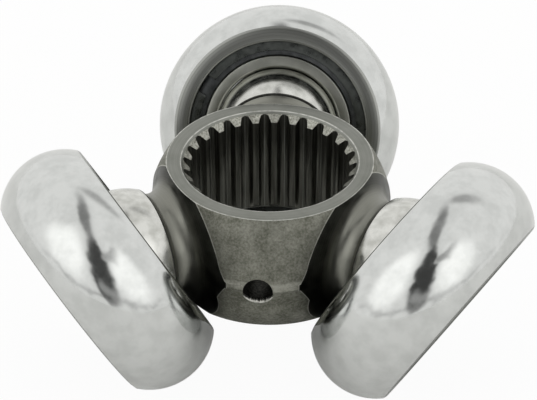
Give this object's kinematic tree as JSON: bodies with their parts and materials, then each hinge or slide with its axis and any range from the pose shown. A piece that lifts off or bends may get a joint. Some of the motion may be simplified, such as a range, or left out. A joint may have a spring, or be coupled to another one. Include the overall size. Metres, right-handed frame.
{
  "type": "drive shaft spider",
  "caption": "Three-armed drive shaft spider: a short forged hub with an internal spline and crowned needle rollers tilted on its ball trunnions.",
  "frame": {"origin": "on the spline's axis, at the height of the three trunnion axes", "axes": "+Z along the spline axis towards the taller side of the hub, which faces up in the picture; +Y along the rear trunnion, so +X points right as seen from the front; the spider stands on its rollers with -Z down"},
  "size_m": [0.0814, 0.0756, 0.0389],
  "materials": {
    "forged_steel": "shot-blasted steel forging, matt grey; its end faces, flanks, necks and balls are machined bare steel",
    "ground_steel": "ground bearing steel, satin",
    "polished_steel": "finely ground bearing steel with near-mirror crowns and a thin film of oil",
    "dark_steel": "stamped steel, dark",
    "spring_steel": "blackened spring steel, oiled"
  },
  "bodies": {
    "spider": {"spider": "forged_steel"},
    "rear_inner": {"rear_inner_ring": "ground_steel"},
    "rear_outer": {"rear_roller": "polished_steel", "rear_washer_inboard": "dark_steel", "rear_washer_outboard": "dark_steel", "rear_snap_ring_inboard": "spring_steel", "rear_snap_ring_outboard": "spring_steel"},
    "rear_needle_set": {"rear_needles": "ground_steel"},
    "left_inner": {"left_inner_ring": "ground_steel"},
    "left_outer": {"left_roller": "polished_steel", "left_washer_inboard": "dark_steel", "left_washer_outboard": "dark_steel", "left_snap_ring_inboard": "spring_steel", "left_snap_ring_outboard": "spring_steel"},
    "left_needle_set": {"left_needles": "ground_steel"},
    "right_inner": {"right_inner_ring": "ground_steel"},
    "right_outer": {"right_roller": "polished_steel", "right_washer_inboard": "dark_steel", "right_washer_outboard": "dark_steel", "right_snap_ring_inboard": "spring_steel", "right_snap_ring_outboard": "spring_steel"},
    "right_needle_set": {"right_needles": "ground_steel"}
  },
  "joints": [
    {"name": "rear_tilt", "type": "hinge", "parent": "spider", "child": "rear_inner", "pos_m": [0, 0.0246, 0], "axis": [1, 0, 0], "range_deg": [0, 54]},
    {"name": "rear_spin", "type": "hinge", "parent": "rear_inner", "child": "rear_outer", "pos_m": [0, 0.02781, -0.00163], "axis": [0, 0.891, -0.454], "continuous": true},
    {"name": "rear_needle_orbit", "type": "hinge", "parent": "rear_inner", "child": "rear_needle_set", "pos_m": [0, 0.02781, -0.00163], "axis": [0, 0.891, -0.454], "continuous": true},
    {"name": "left_tilt", "type": "hinge", "parent": "spider", "child": "left_inner", "pos_m": [-0.0213, -0.0123, 0], "axis": [-0.5, 0.866, 0], "range_deg": [0, 54]},
    {"name": "left_spin", "type": "hinge", "parent": "left_inner", "child": "left_outer", "pos_m": [-0.02408, -0.0139, -0.00163], "axis": [-0.7716, -0.4455, -0.454], "continuous": true},
    {"name": "left_needle_orbit", "type": "hinge", "parent": "left_inner", "child": "left_needle_set", "pos_m": [-0.02408, -0.0139, -0.00163], "axis": [-0.7716, -0.4455, -0.454], "continuous": true},
    {"name": "right_tilt", "type": "hinge", "parent": "spider", "child": "right_inner", "pos_m": [0.0213, -0.0123, 0], "axis": [-0.5, -0.866, 0], "range_deg": [0, 54]},
    {"name": "right_spin", "type": "hinge", "parent": "right_inner", "child": "right_outer", "pos_m": [0.02408, -0.0139, -0.00163], "axis": [0.7716, -0.4455, -0.454], "continuous": true},
    {"name": "right_needle_orbit", "type": "hinge", "parent": "right_inner", "child": "right_needle_set", "pos_m": [0.02408, -0.0139, -0.00163], "axis": [0.7716, -0.4455, -0.454], "continuous": true}
  ],
  "couplings": [
    {"joint": "rear_needle_orbit", "follows": "rear_spin", "ratio": 0.53838},
    {"joint": "left_needle_orbit", "follows": "left_spin", "ratio": 0.53838},
    {"joint": "right_needle_orbit", "follows": "right_spin", "ratio": 0.53838}
  ]
}
